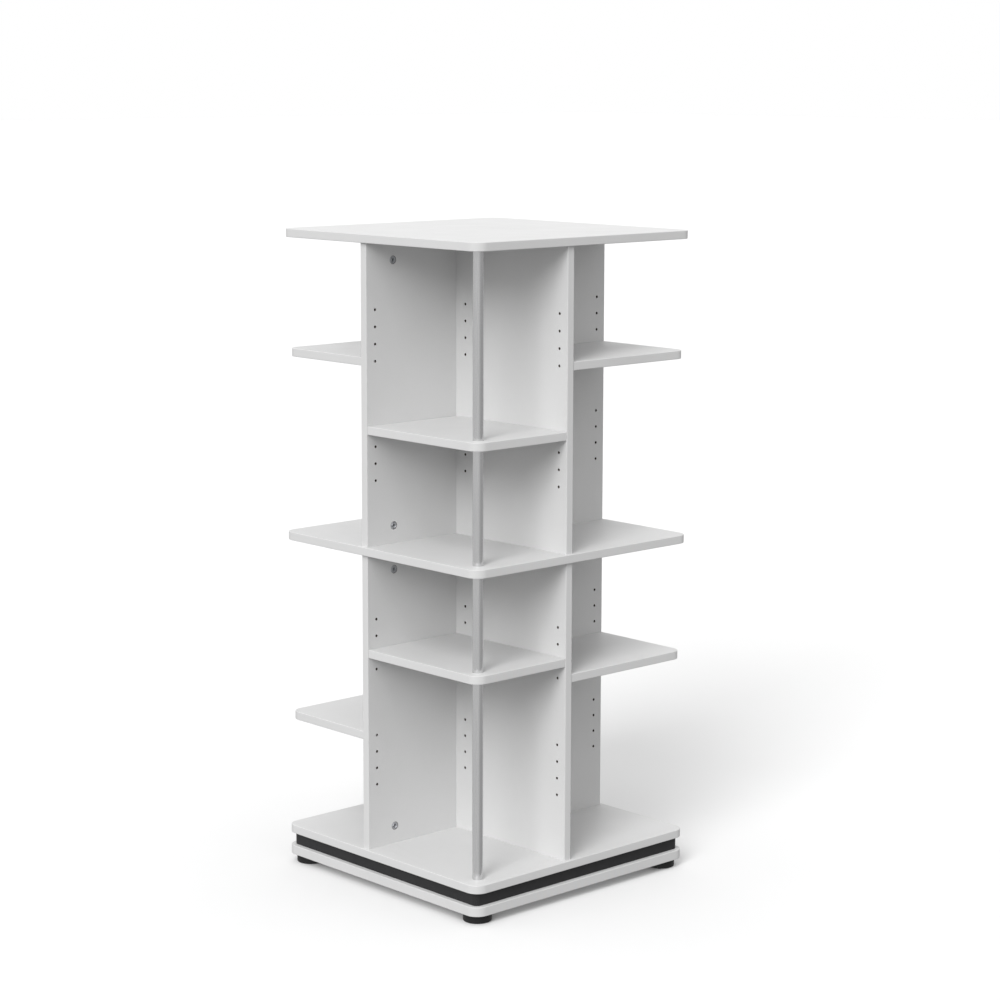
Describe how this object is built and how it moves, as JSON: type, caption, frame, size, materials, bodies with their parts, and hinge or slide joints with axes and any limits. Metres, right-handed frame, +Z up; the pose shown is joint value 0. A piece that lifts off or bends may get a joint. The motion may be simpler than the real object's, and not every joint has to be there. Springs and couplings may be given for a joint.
{
  "type": "revolving shelf tower",
  "caption": "Square two-storey shelf tower that turns on a low plinth, with corner compartments around a closed shaft, adjustable shelves and slim tube posts.",
  "frame": {"origin": "on the floor under the swivel axis, which is the centre of the square footprint", "axes": "+Z up along the swivel axis; the tower's sides face +X, -X, +Y and -Y, and the front corner with its post is at -X -Y"},
  "size_m": [0.554, 0.554, 1.244],
  "materials": {
    "board": "white melamine-faced particle board, ABS-edged",
    "post": "satin anodised tube",
    "skirt": "anthracite laminate, fine texture",
    "foot": "black moulded plastic, fine texture",
    "zinc": "zinc plated",
    "steel": "plain pressed steel",
    "riser_board": "raw particle board",
    "dowel": "fluted beech",
    "plug": "black moulded plastic"
  },
  "bodies": {
    "plinth": {"foot_front": "foot", "foot_right": "foot", "foot_back": "foot", "foot_left": "foot", "foot_screws": "zinc", "plinth_board": "board", "skirt_rail_front": "skirt", "skirt_rail_right": "skirt", "skirt_rail_back": "skirt", "skirt_rail_left": "skirt", "riser": "riser_board", "riser_screws": "zinc", "lower_race": "steel", "lower_race_screws": "zinc"},
    "cage": {"ball_cage": "steel", "balls": "steel"},
    "tower": {"upper_race": "steel", "upper_race_screws": "zinc", "base_board": "board", "mid_board": "board", "top_board": "board", "lower_panel_1": "board", "lower_panel_2": "board", "lower_panel_3": "board", "lower_panel_4": "board", "upper_panel_1": "board", "upper_panel_2": "board", "upper_panel_3": "board", "upper_panel_4": "board", "lower_shelf_front": "board", "lower_shelf_right": "board", "lower_shelf_back": "board", "lower_shelf_left": "board", "upper_shelf_front": "board", "upper_shelf_right": "board", "upper_shelf_back": "board", "upper_shelf_left": "board", "lower_post_front": "post", "lower_post_back": "post", "upper_post_front": "post", "upper_post_back": "post", "post_plugs": "plug", "lower_housings": "zinc", "upper_housings": "zinc", "lower_shelf_bolts": "zinc", "upper_shelf_bolts": "zinc", "lower_cams": "zinc", "upper_cams": "zinc", "base_cam_bolts": "zinc", "base_dowels": "dowel", "mid_cam_bolts": "zinc", "mid_dowels": "dowel", "top_cam_bolts": "zinc", "top_dowels": "dowel"}
  },
  "joints": [
    {"name": "swivel", "type": "hinge", "parent": "plinth", "child": "tower", "pos_m": [0, 0, 0.056], "axis": [0, 0, 1], "continuous": true},
    {"name": "cage_roll", "type": "hinge", "parent": "plinth", "child": "cage", "pos_m": [0, 0, 0.056], "axis": [0, 0, 1], "continuous": true}
  ],
  "couplings": [
    {"joint": "cage_roll", "follows": "swivel", "ratio": 0.5}
  ]
}
